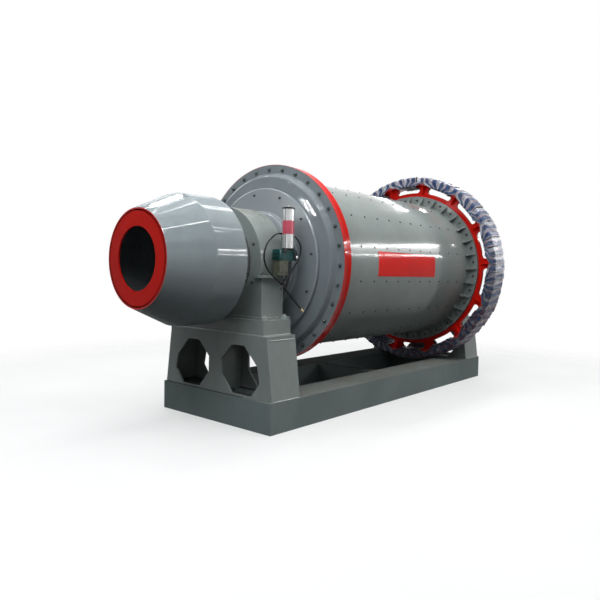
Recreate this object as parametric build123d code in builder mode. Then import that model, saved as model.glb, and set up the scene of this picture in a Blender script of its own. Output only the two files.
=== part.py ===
"""Ball mill, 1830 mm bore: drum on two trunnion bearings with a girth gear, on a welded base frame.

Frame: +X along the mill axis from the feed end to the discharge end, +Z up, Z = 0 under the base,
X = 0 midway between the feed mouth and the end of the discharge spout. Millimetres.
"""
from build123d import *
import os
from math import acos, cos, pi, radians, sin, sqrt, tan

os.makedirs("parts", exist_ok=True)

# Drum
shell_bore_r = 915.0
shell_plate = 20.0
shell_length = 3040.0
flange_reach = 125.0
feed_flange_t = 65.0
discharge_flange_t = 40.0
gusset_count = 32
gusset_t = 14.0
gusset_run = 100.0
gusset_inset = 12.0

# Manhole half-way along the far side of the drum
manhole_length = 420.0
manhole_width = 300.0
manhole_corner_r = 70.0
manhole_lap = 40.0
manhole_cover_t = 22.0

# Heads
head_flange_t = 45.0
head_wall = 45.0
head_depth = 110.0
head_step_inset = 95.0
head_step_round = 15.0
shoulder_inset = 35.0
shoulder_drop = 8.0
shoulder_round = 30.0

# Trunnions
trunnion_flange_inset = 115.0
trunnion_flange_t = 40.0
trunnion_flange_round = 18.0
trunnion_seat_w = 200.0
seat_gap = 9.0
face_rise = 15.0
journal_r = 400.0
journal_wall = 100.0
neck_step = 145.0
neck_round = 15.0
neck_edge_round = 30.0
feed_neck_length = 60.0
feed_neck_cone = 65.0
discharge_neck_length = 7.0
discharge_neck_cone = 18.0
collar_reach = 70.0
collar_t = 39.0

# Feeder drum and mouth
feeder_cyl_length = 371.0
feeder_cone_length = 385.0
feeder_r = 618.0
feeder_plate = 12.0
mouth_r = 450.0
mouth_hole_r = 287.0
mouth_ring_t = 16.0
facet_count = 22
facet_turn = 16.1

# Discharge spout
spout_length = 216.0
spout_flange_t = 20.0
spout_root_wall = 30.0
spout_flare = 90.0

# Girth gear
web_t = 40.0
web_reach = 165.0
window_count = 14
window_inset = 20.0
window_w = 90.0
window_arc = 14.6
window_phase = 21.9
web_rib_t = 25.0
web_rib_foot = 25.0
rim_t = 50.0
rim_lead = 80.0
rim_width = 290.0
rim_dip = 18.0
gear_module = 20.0
pressure_angle = 20.0
wrap_t = 17.0
wrap_side_t = 12.0
wrap_side_gap = 3.0
wrap_cover = 30.0

# Trunnion bearings
feed_neck_gap = 58.0
discharge_neck_gap = 8.0
feed_tail = 239.0
discharge_tail = 139.0
housing_length = 337.0
housing_wall = 35.0
housing_reach = 90.0
housing_sole = 93.0
split_drop = 153.0
cap_plate = 22.0
bush_t = 60.0
bush_clearance = 0.3
seal_clearance = 8.0
lug_length = 280.0
lug_over = 15.0
lug_depth = 135.0
ear_t = 28.0
ear_over = 40.0
foot_t = 25.0
foot_side = 47.0
foot_over = 18.0
block_side = 38.0
block_front = 50.0
block_back_inset = 7.0
block_t = 145.0
block_wall = 40.0
block_corner_r = 12.0

# Pedestals; window corners are shares of the half width at the top and of the plate's height
pedestal_side = 72.0
pedestal_batter = 76.0
pedestal_front = 30.0
pedestal_back_inset = 15.0
pedestal_plate = 25.0
pedestal_side_plate = 20.0
top_plate_t = 35.0
window_corners = [
    (0.129, 0.605), (0.345, 0.873), (0.584, 0.875), (0.832, 0.555),
    (0.877, 0.279), (0.717, 0.025), (0.337, 0.033), (0.133, 0.325),
]

# Base frame
base_height = 296.0
base_side = 10.0
base_end = 26.0
beam_width = 385.0
beam_plate = 16.0
end_beam_width = 160.0
cross_beam_width = 110.0

# Grease pump
pump_in = 131.5
pump_over = 55.0
pump_bracket_in = 31.5
pump_bracket = (120.0, 84.0, 142.0)
pump_body_in = 108.5
pump_body = (226.0, 88.0, 105.0)
pump_body_round = 20.0
pump_r = 57.0
pump_wall = 4.0
pump_height = 396.0
pump_cap_r = 64.0
pump_cap_t = 14.0
nipple_r = 12.0
nipple_length = 24.0
top_nipple_inset = 16.0
top_nipple_back = 8.0
back_nipple_inset = 30.0

# Grease hoses: routes of their middles, from the pump's nipples
hose_r = 8.0
fitting_r = 11.0
fitting_length = 46.0
long_route = [
    (-1456, -612, 1744), (-1456, -612, 1812), (-1480, -560, 1862), (-1548, -530, 1886),
    (-1628, -550, 1870), (-1715, -590, 1840), (-1800, -608, 1785), (-1855, -618, 1700),
    (-1866, -625, 1605), (-1825, -635, 1515), (-1745, -648, 1450), (-1655, -662, 1385),
    (-1575, -675, 1300), (-1490, -686, 1215), (-1412, -697, 1148),
]
short_route = [
    (-1470, -552, 1690), (-1470, -464, 1690), (-1460, -418, 1752), (-1448, -440, 1830),
    (-1423, -510, 1885), (-1392, -590, 1862), (-1372, -645, 1785), (-1384, -660, 1690),
    (-1432, -667, 1615), (-1500, -673, 1550), (-1572, -680, 1480), (-1632, -686, 1415),
    (-1676, -690, 1370),
]

# Radii of the drum, trunnions, gear and bearings
shell_r = shell_bore_r + shell_plate
flange_r = shell_r + flange_reach
head_step_r = flange_r - head_step_inset
shoulder_r = head_step_r - shoulder_inset
trunnion_flange_r = shell_bore_r - trunnion_flange_inset
head_eye_r = trunnion_flange_r - trunnion_seat_w
trunnion_bore_r = journal_r - journal_wall
neck_r = journal_r + neck_step
collar_r = journal_r + collar_reach
web_r = flange_r + web_reach
window_r = web_r - window_inset - window_w / 2
tooth_root_r = web_r + rim_t
pitch_r = tooth_root_r + 1.25 * gear_module
rim_r = pitch_r + gear_module
wrap_r = rim_r + wrap_t
wrap_inner_r = web_r - wrap_cover
bush_r = journal_r + bush_t
seal_r = journal_r + seal_clearance
housing_r = bush_r + housing_reach

# Distances from each head's joint plane out along the axis
housing_half = housing_length / 2
flange_face_s = head_depth + trunnion_flange_t
neck_root_s = flange_face_s + face_rise
feed_cone_end_s = neck_root_s + feed_neck_length + feed_neck_cone
feed_bearing_s = feed_cone_end_s + feed_neck_gap + housing_half
feed_end_s = feed_bearing_s + housing_half + feed_tail
discharge_cone_end_s = neck_root_s + discharge_neck_length + discharge_neck_cone
discharge_bearing_s = discharge_cone_end_s + discharge_neck_gap + housing_half
discharge_end_s = discharge_bearing_s + housing_half + discharge_tail

# Places along X
feed_side_length = feed_end_s + feeder_cyl_length + feeder_cone_length
discharge_side_length = shell_length + web_t + discharge_end_s + spout_length
feed_joint_x = (feed_side_length - discharge_side_length) / 2
discharge_joint_x = feed_joint_x + shell_length
discharge_head_x = discharge_joint_x + web_t
feed_bearing_x = feed_joint_x - feed_bearing_s
discharge_bearing_x = discharge_head_x + discharge_bearing_s
rim_x0 = discharge_joint_x - rim_lead
block_out = housing_half + block_front
block_in = housing_half - block_back_inset
pedestal_out = block_out + pedestal_front
pedestal_in = block_in - pedestal_back_inset
pedestal_depth = pedestal_out + pedestal_in
base_x0 = feed_bearing_x - pedestal_out - base_end
base_x1 = discharge_bearing_x + pedestal_out + base_end

# Half widths
lug_y = housing_r + lug_over
foot_y = lug_y + foot_side
block_y = foot_y + block_side
pedestal_top_y = block_y + pedestal_side
pedestal_foot_y = pedestal_top_y + pedestal_batter
base_y = pedestal_foot_y + base_side
housing_y = sqrt(housing_r**2 - split_drop**2)

# Heights
axis_height = base_height + rim_r - rim_dip
split_z = axis_height - split_drop
foot_z = axis_height - bush_r - housing_sole
block_z = foot_z - block_t
pedestal_top_z = block_z - top_plate_t
pedestal_height = pedestal_top_z - base_height

mill_axis = Axis((0, 0, axis_height), (1, 0, 0))
mill_plane = Plane(origin=(0, 0, axis_height), x_dir=(1, 0, 0), z_dir=(0, -1, 0))


def across(x, z=0.0):
    """Plane square to the mill axis at x: its local x is +Y and its local y is +Z."""
    return Plane(origin=(x, 0, z), x_dir=(0, 1, 0), z_dir=(1, 0, 0))


def save(piece, name):
    piece.part.label = name
    export_step(piece.part, f"parts/{name}.step")


def turned(points, rounded=()):
    """Part turned about the mill axis from (x, r) points; rounded lists (point, radius)."""
    with BuildPart() as body:
        with BuildSketch(mill_plane) as profile:
            with BuildLine():
                Polyline(*points, close=True)
            make_face()
            for (x, r), radius in rounded:
                fillet(profile.vertices().sort_by_distance((x, r, 0))[0], radius)
        revolve(axis=mill_axis)
    return body


# Drum shell with its manhole, and the shell flanges
manhole_plane = Plane(
    origin=(feed_joint_x + shell_length / 2, 0, axis_height), x_dir=(1, 0, 0), z_dir=(0, 1, 0)
)
with BuildPart() as drum_shell:
    with BuildSketch(across(feed_joint_x, axis_height)):
        Circle(shell_r)
        Circle(shell_bore_r, mode=Mode.SUBTRACT)
    extrude(amount=shell_length)
    with BuildSketch(manhole_plane):
        RectangleRounded(
            manhole_length - 2 * manhole_lap, manhole_width - 2 * manhole_lap,
            manhole_corner_r - manhole_lap,
        )
    extrude(amount=flange_r, mode=Mode.SUBTRACT)
save(drum_shell, "drum_shell")

with BuildPart() as manhole_cover:
    with BuildSketch(manhole_plane):
        RectangleRounded(manhole_length, manhole_width, manhole_corner_r)
    extrude(amount=flange_r)
    with BuildSketch(across(manhole_plane.origin.X - manhole_length, axis_height)):
        Circle(shell_r + manhole_cover_t)
        Circle(shell_r, mode=Mode.SUBTRACT)
    extrude(amount=2 * manhole_length, mode=Mode.INTERSECT)
save(manhole_cover, "manhole_cover")

with BuildPart() as feed_shell_flange:
    with BuildSketch(across(feed_joint_x, axis_height)):
        Circle(flange_r)
        Circle(shell_r, mode=Mode.SUBTRACT)
    extrude(amount=feed_flange_t)
save(feed_shell_flange, "feed_shell_flange")

flange_face_x = discharge_joint_x - discharge_flange_t
with BuildPart() as gusset:
    with BuildSketch(mill_plane):
        with BuildLine():
            Polyline(
                (flange_face_x, shell_bore_r),
                (flange_face_x, flange_r - gusset_inset),
                (flange_face_x - gusset_inset, flange_r - gusset_inset),
                (flange_face_x - gusset_run, shell_r + gusset_inset),
                (flange_face_x - gusset_run, shell_bore_r),
                close=True,
            )
        make_face()
    extrude(amount=gusset_t / 2, both=True)

with BuildPart() as discharge_shell_flange:
    with BuildSketch(across(flange_face_x, axis_height)):
        Circle(flange_r)
        Circle(shell_r, mode=Mode.SUBTRACT)
    extrude(amount=discharge_flange_t)
    for i in range(gusset_count):
        add(gusset.part.rotate(mill_axis, i * 360 / gusset_count))
    with BuildSketch(across(flange_face_x - gusset_run, axis_height)):
        Circle(shell_r)
    extrude(amount=gusset_run + discharge_flange_t, mode=Mode.SUBTRACT)
save(discharge_shell_flange, "discharge_shell_flange")


def head(joint_x, out):
    """Dished head; out is -1 at the feed end and +1 at the discharge end."""
    def at(s, r):
        return (joint_x + out * s, r)

    step = at(head_flange_t, head_step_r)
    shoulder = at(head_depth - shoulder_drop, shoulder_r)
    return turned(
        [
            at(0, flange_r), at(head_flange_t, flange_r), step, shoulder,
            at(head_depth, trunnion_flange_r + seat_gap), at(head_depth, head_eye_r),
            at(head_depth - head_wall, head_eye_r),
            at(head_depth - head_wall, shoulder_r - head_wall), at(0, shell_bore_r),
        ],
        [(step, head_step_round), (shoulder, shoulder_round)],
    )


def trunnion(joint_x, out, neck_length, cone_end_s, end_s):
    """Hollow trunnion with its bolted flange, neck, journal and end collar."""
    def at(s, r):
        return (joint_x + out * s, r)

    rim = at(flange_face_s, trunnion_flange_r)
    root = at(neck_root_s, neck_r)
    edge = at(neck_root_s + neck_length, neck_r)
    return turned(
        [
            at(head_depth, trunnion_flange_r), rim, root, edge, at(cone_end_s, journal_r),
            at(end_s - collar_t, journal_r), at(end_s - collar_t, collar_r), at(end_s, collar_r),
            at(end_s, trunnion_bore_r), at(head_depth - head_wall, trunnion_bore_r),
            at(head_depth - head_wall, head_eye_r), at(head_depth, head_eye_r),
        ],
        [
            (rim, trunnion_flange_round),
            (root, min(neck_round, 0.4 * neck_length)),
            (edge, min(neck_edge_round, 0.4 * neck_length)),
        ],
    )


feed_head = head(feed_joint_x, -1)
save(feed_head, "feed_head")
discharge_head = head(discharge_head_x, 1)
save(discharge_head, "discharge_head")
feed_trunnion = trunnion(feed_joint_x, -1, feed_neck_length, feed_cone_end_s, feed_end_s)
save(feed_trunnion, "feed_trunnion")
discharge_trunnion = trunnion(
    discharge_head_x, 1, discharge_neck_length, discharge_cone_end_s, discharge_end_s
)
save(discharge_trunnion, "discharge_trunnion")

# Feeder drum, faceted cone and mouth ring
feeder_x = feed_joint_x - feed_end_s
feeder_break_x = feeder_x - feeder_cyl_length
mouth_x = feeder_break_x - feeder_cone_length
feeder_drum = turned(
    [
        (feeder_x, trunnion_bore_r), (feeder_x, feeder_r), (feeder_break_x, feeder_r),
        (feeder_break_x, feeder_r - feeder_plate),
        (feeder_x - feeder_plate, feeder_r - feeder_plate),
        (feeder_x - feeder_plate, trunnion_bore_r),
    ]
)
save(feeder_drum, "feeder_drum")

with BuildPart() as feeder_cone:
    for inset, how in ((0.0, Mode.ADD), (feeder_plate, Mode.SUBTRACT)):
        with BuildSketch(across(mouth_x, axis_height)):
            RegularPolygon(mouth_r - inset, facet_count, rotation=facet_turn)
        with BuildSketch(across(feeder_break_x, axis_height)):
            RegularPolygon(feeder_r - inset, facet_count, rotation=facet_turn)
        loft(mode=how)
save(feeder_cone, "feeder_cone")

ring_r = (mouth_r - feeder_plate) * cos(radians(180 / facet_count))
with BuildPart() as feeder_mouth_ring:
    with BuildSketch(across(mouth_x, axis_height)):
        Circle(ring_r)
        Circle(mouth_hole_r, mode=Mode.SUBTRACT)
    extrude(amount=mouth_ring_t)
save(feeder_mouth_ring, "feeder_mouth_ring")

# Discharge spout: flange ring and flared sleeve
spout_x = discharge_head_x + discharge_end_s
spout_end_x = spout_x + spout_length
spout_root_r = trunnion_bore_r + spout_root_wall
spout_r = spout_root_r + spout_flare
discharge_spout = turned(
    [
        (spout_x, trunnion_bore_r), (spout_x, collar_r), (spout_x + spout_flange_t, collar_r),
        (spout_x + spout_flange_t, spout_root_r), (spout_end_x, spout_r),
        (spout_end_x, spout_r - feeder_plate),
        (spout_x + spout_flange_t, trunnion_bore_r),
    ]
)
save(discharge_spout, "discharge_spout")

# Girth gear: web with curved windows and ribs
with BuildPart() as web_rib:
    with BuildSketch(mill_plane):
        rib_foot_r = flange_r + web_rib_foot
        rib_side_r = web_r - gusset_inset
        rib_x0 = rim_x0 + gusset_inset
        rib_x1 = rim_x0 + rim_width - gusset_inset
        with BuildLine():
            Polyline(
                (discharge_joint_x, rib_foot_r), (rib_x0, rib_side_r), (rib_x0, rim_r),
                (rib_x1, rim_r), (rib_x1, rib_side_r), (discharge_joint_x + web_t, rib_foot_r),
                close=True,
            )
        make_face()
    extrude(amount=web_rib_t / 2, both=True)

with BuildSketch() as web_window:
    SlotArc(CenterArc((0, 0), window_r, -window_arc / 2, window_arc), window_w)

with BuildPart() as gear_web:
    with BuildSketch(across(discharge_joint_x, axis_height)):
        Circle(web_r)
        Circle(shell_bore_r, mode=Mode.SUBTRACT)
        with PolarLocations(0, window_count, start_angle=window_phase + 180 / window_count):
            add(web_window.sketch, mode=Mode.SUBTRACT)
    extrude(amount=web_t)
    for i in range(window_count):
        add(web_rib.part.rotate(mill_axis, window_phase - 90 + i * 360 / window_count))
    with BuildSketch(across(rim_x0, axis_height)):
        Circle(rim_r + web_rib_t)
        Circle(web_r, mode=Mode.SUBTRACT)
    extrude(amount=rim_width, mode=Mode.SUBTRACT)
save(gear_web, "gear_web")

# Toothed rim: the flanks are involutes, each with a point at the root, the pitch line and the tip
tooth_count = round(2 * pitch_r / gear_module)
base_circle_r = pitch_r * cos(radians(pressure_angle))


def involute(r):
    angle = acos(base_circle_r / r)
    return tan(angle) - angle


def tooth_half_angle(r):
    return pi / (2 * tooth_count) + involute(pitch_r) - involute(r)


flank_radii = (tooth_root_r, pitch_r, rim_r)
half_tooth = [(r, -tooth_half_angle(r)) for r in flank_radii]
half_tooth += [(r, -turn) for r, turn in reversed(half_tooth)]
tooth_points = []
for i in range(tooth_count):
    middle = 2 * pi * i / tooth_count
    tooth_points += [(r * cos(middle + turn), r * sin(middle + turn)) for r, turn in half_tooth]
with BuildPart() as gear_rim:
    with BuildSketch(across(rim_x0, axis_height)):
        with BuildLine():
            Polyline(*tooth_points, close=True)
        make_face()
        Circle(web_r, mode=Mode.SUBTRACT)
    extrude(amount=rim_width)
save(gear_rim, "gear_rim")

# Woven wrapping wound round the rim
wrap_x0 = rim_x0 - wrap_side_gap
wrap_x1 = rim_x0 + rim_width + wrap_side_gap
wrap_out_x0 = wrap_x0 - wrap_side_t
wrap_out_x1 = wrap_x1 + wrap_side_t
gear_wrap = turned(
    [
        (wrap_x0, wrap_inner_r), (wrap_out_x0, wrap_inner_r), (wrap_out_x0, wrap_r),
        (wrap_out_x1, wrap_r), (wrap_out_x1, wrap_inner_r), (wrap_x1, wrap_inner_r),
        (wrap_x1, rim_r), (wrap_x0, rim_r),
    ],
    [((wrap_out_x0, wrap_r), wrap_side_t - 2), ((wrap_out_x1, wrap_r), wrap_side_t - 2)],
)
save(gear_wrap, "gear_wrap")


# Base frame of closed box beams
def box_beam(middle_x, middle_y, length, width):
    with BuildPart() as beam:
        with Locations((middle_x, middle_y, base_height / 2)):
            Box(length, width, base_height)
            Box(
                length - 2 * beam_plate, width - 2 * beam_plate, base_height - 2 * beam_plate,
                mode=Mode.SUBTRACT,
            )
    return beam


base_length = base_x1 - base_x0
base_mid_x = (base_x0 + base_x1) / 2
beam_mid_y = base_y - beam_width / 2
inner_y = base_y - beam_width
base_side_beam_near = box_beam(base_mid_x, -beam_mid_y, base_length, beam_width)
save(base_side_beam_near, "base_side_beam_near")
base_side_beam_far = box_beam(base_mid_x, beam_mid_y, base_length, beam_width)
save(base_side_beam_far, "base_side_beam_far")

feed_cross_x = feed_bearing_x + pedestal_in - cross_beam_width / 2
discharge_cross_x = discharge_bearing_x - pedestal_in + cross_beam_width / 2
cross_places = {
    "base_end_beam_feed": (base_x0 + end_beam_width / 2, end_beam_width),
    "base_end_beam_discharge": (base_x1 - end_beam_width / 2, end_beam_width),
    "base_cross_beam_feed": (feed_cross_x, cross_beam_width),
    "base_cross_beam_middle": (base_mid_x, cross_beam_width),
    "base_cross_beam_discharge": (discharge_cross_x, cross_beam_width),
}
for name, (x, width) in cross_places.items():
    save(box_beam(x, 0, width, 2 * inner_y), name)


# Pedestals and trunnion bearings
def pedestal(end, bearing_x, out):
    outer_x = bearing_x + out * pedestal_out
    inner_x = bearing_x - out * pedestal_in

    def plate_at(x):
        with BuildPart() as plate:
            with BuildSketch(across(x)):
                Polygon(
                    (-pedestal_foot_y, base_height), (pedestal_foot_y, base_height),
                    (pedestal_top_y, pedestal_top_z), (-pedestal_top_y, pedestal_top_z),
                    align=None,
                )
                for side in (-1, 1):
                    corners = [
                        (side * share_y * pedestal_top_y, base_height + share_z * pedestal_height)
                        for share_y, share_z in window_corners[::side]
                    ]
                    Polygon(*corners, align=None, mode=Mode.SUBTRACT)
            extrude(amount=pedestal_plate)
        return plate

    low = min(outer_x, inner_x)
    high = max(outer_x, inner_x) - pedestal_plate
    front_x, back_x = (low, high) if out < 0 else (high, low)
    save(plate_at(front_x), f"{end}_pedestal_front_plate")
    save(plate_at(back_x), f"{end}_pedestal_back_plate")
    with BuildPart() as side_plates:
        with BuildSketch(across(low + pedestal_plate)):
            for side in (-1, 1):
                corners = [
                    (pedestal_foot_y, base_height), (pedestal_top_y, pedestal_top_z),
                    (pedestal_top_y - pedestal_side_plate, pedestal_top_z),
                    (pedestal_foot_y - pedestal_side_plate, base_height),
                ]
                Polygon(*[(side * y, z) for y, z in corners], align=None)
        extrude(amount=pedestal_depth - 2 * pedestal_plate)
    save(side_plates, f"{end}_pedestal_side_plates")
    with BuildPart() as top_plate:
        with Locations(((outer_x + inner_x) / 2, 0, pedestal_top_z + top_plate_t / 2)):
            Box(pedestal_depth, 2 * pedestal_top_y, top_plate_t)
    save(top_plate, f"{end}_pedestal_top_plate")


def bearing(end, bearing_x, out):
    """Bearing block, housing, bush and cap; out is -1 at the feed end and +1 at the discharge end."""
    body_z = foot_z + foot_t
    body_height = split_z - body_z
    lug_x = bearing_x + out * (housing_half - lug_length / 2)
    across_bearing = Plane(origin=(bearing_x, 0, axis_height), z_dir=(1, 0, 0))
    with BuildPart() as block:
        block_length = block_out + block_in
        with Locations((bearing_x + out * (block_out - block_in) / 2, 0, block_z)):
            Box(block_length, 2 * block_y, block_t, align=stand)
        fillet(block.edges().filter_by(Axis.Z), block_corner_r)
        with Locations((bearing_x + out * (block_out - block_in) / 2, 0, block_z)):
            for side in (-1, 1):
                with Locations((0, side * (block_y / 2 - block_wall / 4), 0)):
                    Box(
                        block_length - 2 * block_wall, block_y - 1.5 * block_wall,
                        block_t - block_wall, align=stand, mode=Mode.SUBTRACT,
                    )
    save(block, f"{end}_bearing_block")

    with BuildPart() as housing:
        with Locations((bearing_x, 0, body_z)):
            Box(housing_length, 2 * housing_y, body_height, align=stand)
        with Locations((bearing_x, 0, foot_z)):
            Box(housing_length + 2 * foot_over, 2 * foot_y, foot_t, align=stand)
        for side in (-1, 1):
            with Locations((lug_x, side * (lug_y - lug_depth / 2), body_z)):
                Box(lug_length, lug_depth, body_height, align=stand)
        with Locations(across_bearing):
            Cylinder(bush_r, housing_length - 2 * housing_wall, mode=Mode.SUBTRACT)
            Cylinder(seal_r, housing_length, mode=Mode.SUBTRACT)
    save(housing, f"{end}_bearing_housing")

    with BuildPart() as bush:
        with BuildSketch(across(bearing_x - housing_half + housing_wall, axis_height)):
            Circle(bush_r)
            Circle(journal_r + bush_clearance, mode=Mode.SUBTRACT)
            with Locations((0, bush_r - split_drop)):
                Rectangle(2 * bush_r, 2 * bush_r, mode=Mode.SUBTRACT)
        extrude(amount=housing_length - 2 * housing_wall)
    save(bush, f"{end}_bearing_bush")

    with BuildPart() as cap:
        with BuildSketch(across(bearing_x - housing_half, axis_height)):
            Circle(housing_r)
            with Locations((0, -split_drop - housing_r)):
                Rectangle(2 * housing_r, 2 * housing_r, mode=Mode.SUBTRACT)
        extrude(amount=housing_length)
        for side in (-1, 1):
            with BuildSketch(Plane.XY.offset(split_z)):
                with Locations((lug_x, side * (lug_y - lug_depth / 4))):
                    SlotOverall(lug_length + 2 * ear_over, lug_depth / 2 + 2 * ear_over)
            extrude(amount=ear_t)
        with Locations(across_bearing):
            Cylinder(seal_r, housing_length, mode=Mode.SUBTRACT)
            Cylinder(housing_r - cap_plate, housing_length - 2 * cap_plate, mode=Mode.SUBTRACT)
    save(cap, f"{end}_bearing_cap")


stand = (Align.CENTER, Align.CENTER, Align.MIN)
for end, bearing_x, out in (("feed", feed_bearing_x, -1), ("discharge", discharge_bearing_x, 1)):
    pedestal(end, bearing_x, out)
    bearing(end, bearing_x, out)

# Grease pump on the near ear of the feed bearing's cap
pump_y = -(lug_y + pump_over)
bracket_z = split_z + ear_t
pump_body_z = bracket_z + pump_bracket[2]
reservoir_z = pump_body_z + pump_body[2]
with BuildPart() as grease_pump_bracket:
    with Locations((feed_bearing_x + pump_bracket_in, pump_y, bracket_z)):
        Box(*pump_bracket, align=stand)
save(grease_pump_bracket, "grease_pump_bracket")

with BuildPart() as grease_pump_body:
    with Locations((feed_bearing_x + pump_body_in, pump_y, pump_body_z)):
        Box(*pump_body, align=stand)
    fillet(grease_pump_body.edges().filter_by(Axis.Z), pump_body_round)
    body_end_x = feed_bearing_x + pump_body_in + pump_body[0] / 2
    with Locations((body_end_x - top_nipple_inset, pump_y + top_nipple_back, reservoir_z)):
        Cylinder(nipple_r, nipple_length, align=stand)
    back_nipple = (
        body_end_x - back_nipple_inset, pump_y + pump_body[1] / 2, reservoir_z - back_nipple_inset
    )
    with Locations(Plane(origin=back_nipple, z_dir=(0, 1, 0))):
        Cylinder(nipple_r, nipple_length, align=stand)
save(grease_pump_body, "grease_pump_body")

with BuildPart() as grease_pump_reservoir:
    with Locations((feed_bearing_x + pump_in, pump_y, reservoir_z)):
        Cylinder(pump_r, pump_height, align=stand)
        Cylinder(pump_r - pump_wall, pump_height, align=stand, mode=Mode.SUBTRACT)
    with Locations((feed_bearing_x + pump_in, pump_y, reservoir_z + pump_height)):
        Cylinder(pump_cap_r, pump_cap_t, align=stand)
save(grease_pump_reservoir, "grease_pump_reservoir")


# Grease hoses with their end fittings
def hose(route, name):
    """Round hose of straight runs joined by arcs as large as the runs allow."""
    points = [Vector(*p) for p in route]
    runs = [b - a for a, b in zip(points, points[1:])]
    radii = [
        0.45 * min(a.length, b.length) / tan(radians(a.get_angle(b) / 2))
        for a, b in zip(runs, runs[1:])
    ]
    with BuildPart() as tube:
        with BuildLine() as path:
            FilletPolyline(*route, radius=radii)
        with BuildSketch(Plane(origin=route[0], z_dir=runs[0])):
            Circle(hose_r)
        sweep(path=path.wires()[0])
    length = path.wires()[0].length
    print(name, "length", round(length), "radii", [round(r) for r in radii])
    print("volume / (section * length)", round(tube.part.volume / (pi * hose_r**2 * length), 4))
    save(tube, name)
    with BuildPart() as fitting:
        with BuildSketch(Plane(origin=route[-1], z_dir=runs[-1])):
            Circle(fitting_r)
        extrude(amount=fitting_length)
    save(fitting, f"{name}_fitting")


hose(long_route, "grease_hose")
hose(short_route, "grease_hose_short")
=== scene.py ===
import random
from math import asin, cos, degrees, exp, log, pi, radians, sin, tan, tau

import bmesh
import bpy
from mathutils import Matrix, Vector, noise


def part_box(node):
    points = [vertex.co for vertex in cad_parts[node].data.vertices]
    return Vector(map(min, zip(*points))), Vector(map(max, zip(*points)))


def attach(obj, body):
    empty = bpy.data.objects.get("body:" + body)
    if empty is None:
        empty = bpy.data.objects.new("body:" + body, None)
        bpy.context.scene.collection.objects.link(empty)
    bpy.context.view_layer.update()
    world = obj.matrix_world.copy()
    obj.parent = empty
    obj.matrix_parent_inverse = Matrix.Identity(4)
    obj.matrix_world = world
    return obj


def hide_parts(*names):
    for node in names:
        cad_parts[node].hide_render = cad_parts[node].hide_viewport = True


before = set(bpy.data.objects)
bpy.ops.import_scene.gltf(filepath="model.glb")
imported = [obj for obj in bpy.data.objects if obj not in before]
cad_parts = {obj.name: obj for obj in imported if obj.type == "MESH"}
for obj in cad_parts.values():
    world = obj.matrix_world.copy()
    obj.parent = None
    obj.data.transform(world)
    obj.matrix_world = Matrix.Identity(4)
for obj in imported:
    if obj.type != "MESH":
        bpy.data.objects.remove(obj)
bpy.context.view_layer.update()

# ---- places, in metres
AXIS_Z = 1.598                      # the drum's axis lies along X at this height
SHELL_R = 0.935
HEAD_BOLTS_R = 1.0036               # the circles of bolts on the heads and on the trunnions
TRUNNION_BOLTS_R = 0.7326
COVER_BOLTS_R = 0.478
EAR_Z, FOOT_Z = 1.4725, 1.0445      # the upper faces of the caps' ears and the housings' feet
RIB_Y, RIB_Z = (-0.008, 0.008), (0.294, 0.867)
FLANGE_JOINT_X = -1.1455            # where the feed head meets the shell's red flange
MANHOLE_X = 0.375
BEARINGS = (("feed", -1.6615, -1.0), ("discharge", 2.3015, 1.0))    # middle X and way out
PUMP_AXIS = (-1.530, -0.620)        # the grease reservoir's upright axis
HOSE_R = 0.008
UP, LEFT, RIGHT, NEAR, FAR = (0, 0, 1), (-1, 0, 0), (1, 0, 0), (0, -1, 0), (0, 1, 0)

LONG_HOSE = [
    (-1.456, -0.612, 1.744), (-1.456, -0.612, 1.812), (-1.480, -0.560, 1.862),
    (-1.548, -0.530, 1.886), (-1.628, -0.550, 1.870), (-1.715, -0.590, 1.840),
    (-1.800, -0.608, 1.785), (-1.855, -0.618, 1.700), (-1.866, -0.625, 1.605),
    (-1.825, -0.635, 1.515), (-1.745, -0.648, 1.450), (-1.655, -0.662, 1.385),
    (-1.575, -0.675, 1.300), (-1.490, -0.686, 1.215), (-1.412, -0.697, 1.148),
]
SHORT_HOSE = [
    (-1.470, -0.552, 1.690), (-1.470, -0.464, 1.690), (-1.460, -0.418, 1.752),
    (-1.448, -0.440, 1.830), (-1.423, -0.510, 1.885), (-1.392, -0.590, 1.862),
    (-1.372, -0.645, 1.785), (-1.384, -0.660, 1.690), (-1.432, -0.667, 1.615),
    (-1.500, -0.673, 1.550), (-1.572, -0.680, 1.480), (-1.632, -0.686, 1.415),
    (-1.676, -0.690, 1.370),
]


# ---- node trees
class Link:
    """A node's output that Python sums are written on: each operator adds its Math node."""

    def __init__(self, tree, socket):
        self.tree = tree
        self.socket = socket

    def maths(self, operation, *feeds):
        return self.tree.node("ShaderNodeMath", dict(enumerate(feeds)), operation=operation)

    def alone(self, operation):
        """A Math node of this value alone, such as its fraction or sine."""
        return self.maths(operation, self)

    def within(self, low, high):
        """1 where the value lies between low and high, and 0 elsewhere."""
        return (self > low) * (self < high)

    def __add__(self, other):
        return self.maths("ADD", self, other)

    def __sub__(self, other):
        return self.maths("SUBTRACT", self, other)

    def __rsub__(self, other):
        return self.maths("SUBTRACT", other, self)

    def __mul__(self, other):
        return self.maths("MULTIPLY", self, other)

    def __pow__(self, other):
        return self.maths("POWER", self, other)

    def __gt__(self, other):
        return self.maths("GREATER_THAN", self, other)

    def __lt__(self, other):
        return self.maths("LESS_THAN", self, other)

    __radd__ = __add__
    __rmul__ = __mul__


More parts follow.
